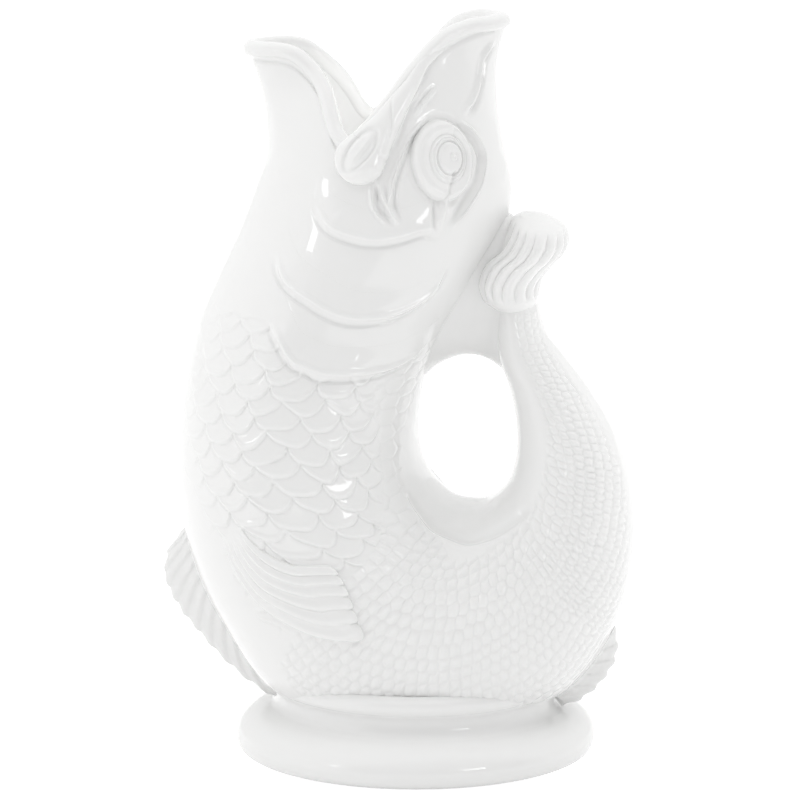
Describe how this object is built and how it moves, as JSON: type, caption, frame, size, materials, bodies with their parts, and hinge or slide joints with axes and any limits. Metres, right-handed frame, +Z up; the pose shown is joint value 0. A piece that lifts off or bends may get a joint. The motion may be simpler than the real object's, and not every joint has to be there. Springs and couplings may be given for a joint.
{
  "type": "fish gurgle jug",
  "caption": "Glazed earthenware pouring jug shaped as a standing fish: open mouth spout, hollow curled tail as the handle, ribbed fins, flared round foot.",
  "frame": {"origin": "centre of the round foot, on the surface that the jug stands on", "axes": "+Z up through the mouth, +X from the belly towards the tail handle, +Y from the near flank to the far flank"},
  "size_m": [0.1605, 0.1218, 0.2505],
  "materials": {
    "white_glaze": "gloss"
  },
  "bodies": {
    "root": {"foot_ring": "white_glaze", "base_shell": "white_glaze", "belly_shell": "white_glaze", "throat_shell": "white_glaze", "head_shell": "white_glaze", "tail_shell": "white_glaze", "tail_fan": "white_glaze", "tail_bridge": "white_glaze", "mouth_lip": "white_glaze", "left_mouth_lobe": "white_glaze", "right_mouth_lobe": "white_glaze", "left_eye": "white_glaze", "right_eye": "white_glaze", "left_gill_covers": "white_glaze", "right_gill_covers": "white_glaze", "left_breast_fin": "white_glaze", "right_breast_fin": "white_glaze", "belly_fin": "white_glaze", "back_fin": "white_glaze"}
  },
  "joints": []
}
